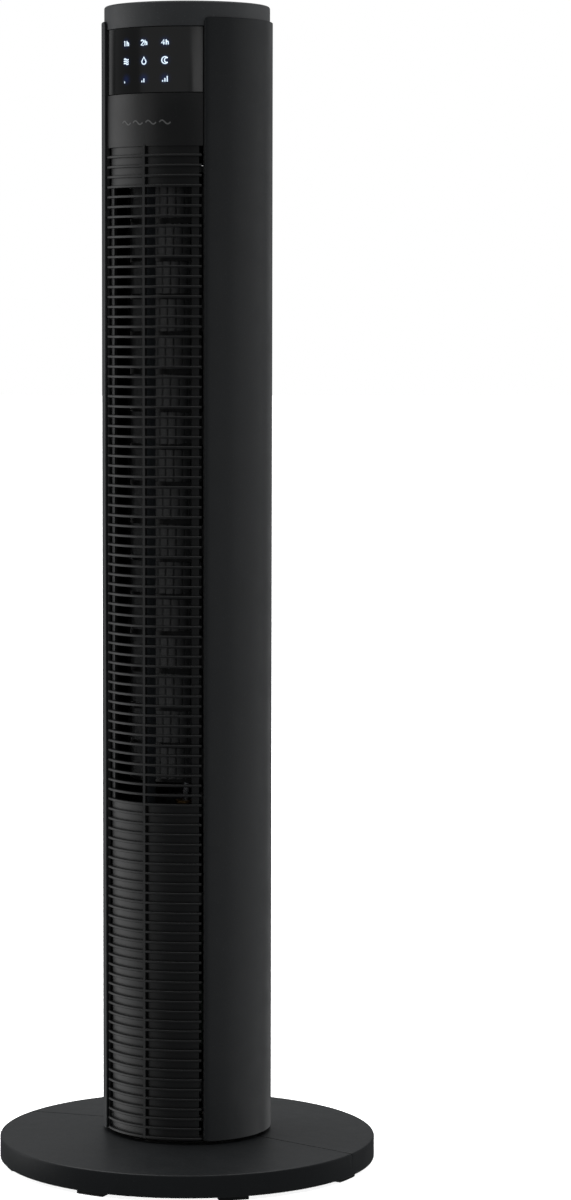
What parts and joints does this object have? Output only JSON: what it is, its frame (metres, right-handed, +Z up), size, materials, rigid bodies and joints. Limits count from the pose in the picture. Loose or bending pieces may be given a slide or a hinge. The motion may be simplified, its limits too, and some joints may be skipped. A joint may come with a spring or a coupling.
{
  "type": "tower fan",
  "caption": "Slim oscillating tower fan: a barred column with a cross-flow wheel on a round foot, push buttons on top and an indicator window in front.",
  "frame": {"origin": "on the floor under the middle of the round foot", "axes": "+Z up along the column, -Y to the front where the air comes out, +X to the right as seen from the front"},
  "size_m": [0.3144, 0.3144, 0.96],
  "materials": {
    "satin_black": "satin moulded black plastic",
    "panel_black": "smooth satin black side panels",
    "gloss_black": "polished black window",
    "duct_black": "dull black inner plastic",
    "wheel_black": "black wheel plastic",
    "button_black": "satin black keys",
    "rubber": "soft black rubber",
    "slide_plastic": "natural acetal",
    "circuit_board": "green solder mask",
    "copper": "enamelled copper wire",
    "steel": "plain steel",
    "zinc": "zinc-plated steel",
    "bronze": "sintered bronze"
  },
  "bodies": {
    "base": {"base_front": "satin_black", "base_rear": "satin_black", "rubber_foot_1": "rubber", "rubber_foot_2": "rubber", "rubber_foot_3": "rubber", "rubber_foot_4": "rubber", "rubber_foot_5": "rubber", "rubber_foot_6": "rubber", "rubber_foot_7": "rubber", "rubber_foot_8": "rubber", "cable_gland": "rubber", "base_hub": "duct_black", "base_screw_1": "zinc", "base_screw_2": "zinc", "base_screw_3": "zinc", "base_screw_4": "zinc", "thrust_ring": "slide_plastic", "fixed_gear": "slide_plastic", "hub_clip": "zinc"},
    "column": {"front_casing": "satin_black", "front_grille": "satin_black", "rear_casing": "satin_black", "handle_cover": "satin_black", "top_cap": "satin_black", "upper_bearing_holder": "satin_black", "side_panel_left": "panel_black", "side_panel_right": "panel_black", "display_window": "gloss_black", "run_capacitor": "gloss_black", "bearing_bush": "rubber", "swing_plate": "duct_black", "display_light_box": "duct_black", "scroll_wall": "duct_black", "tongue_wall": "duct_black", "motor_bracket": "duct_black", "casing_screw_1": "zinc", "casing_screw_2": "zinc", "casing_screw_3": "zinc", "casing_screw_4": "zinc", "swing_motor_bracket": "zinc", "swing_motor": "zinc", "motor_can": "zinc", "pivot_bush": "slide_plastic", "button_board": "circuit_board", "display_board": "circuit_board", "main_board": "circuit_board", "motor_stator": "steel", "upper_bearing": "bronze", "motor_bearing_lower": "bronze", "motor_bearing_upper": "bronze", "motor_winding": "copper"},
    "impeller": {"impeller": "wheel_black", "impeller_pin": "steel", "motor_rotor": "steel"},
    "swing_pinion": {"swing_pinion": "slide_plastic"},
    "power_button": {"power_button": "button_black"},
    "speed_button": {"speed_button": "button_black"},
    "mode_button": {"mode_button": "button_black"},
    "timer_button": {"timer_button": "button_black"},
    "swing_button": {"swing_button": "button_black"}
  },
  "joints": [
    {"name": "column_swing", "type": "hinge", "parent": "base", "child": "column", "pos_m": [0, 0, 0.03], "axis": [0, 0, 1], "range_deg": [-35, 35]},
    {"name": "impeller_spin", "type": "hinge", "parent": "column", "child": "impeller", "pos_m": [0, 0, 0.57], "axis": [0, 0, 1], "continuous": true},
    {"name": "swing_pinion_spin", "type": "hinge", "parent": "column", "child": "swing_pinion", "pos_m": [0, 0.0275, 0.039], "axis": [0, 0, 1], "range_deg": [-94, 94]},
    {"name": "power_press", "type": "slide", "parent": "column", "child": "power_button", "axis": [0, 0, -1], "range_m": [0, 0.001], "stiffness_N_per_m": 250, "springref_m": -0.0005},
    {"name": "speed_press", "type": "slide", "parent": "column", "child": "speed_button", "axis": [0, 0, -1], "range_m": [0, 0.001], "stiffness_N_per_m": 250, "springref_m": -0.0005},
    {"name": "mode_press", "type": "slide", "parent": "column", "child": "mode_button", "axis": [0, 0, -1], "range_m": [0, 0.001], "stiffness_N_per_m": 250, "springref_m": -0.0005},
    {"name": "timer_press", "type": "slide", "parent": "column", "child": "timer_button", "axis": [0, 0, -1], "range_m": [0, 0.001], "stiffness_N_per_m": 250, "springref_m": -0.0005},
    {"name": "swing_press", "type": "slide", "parent": "column", "child": "swing_button", "axis": [0, 0, -1], "range_m": [0, 0.001], "stiffness_N_per_m": 250, "springref_m": -0.0005}
  ],
  "couplings": [
    {"joint": "swing_pinion_spin", "follows": "column_swing", "ratio": 2.6667}
  ]
}
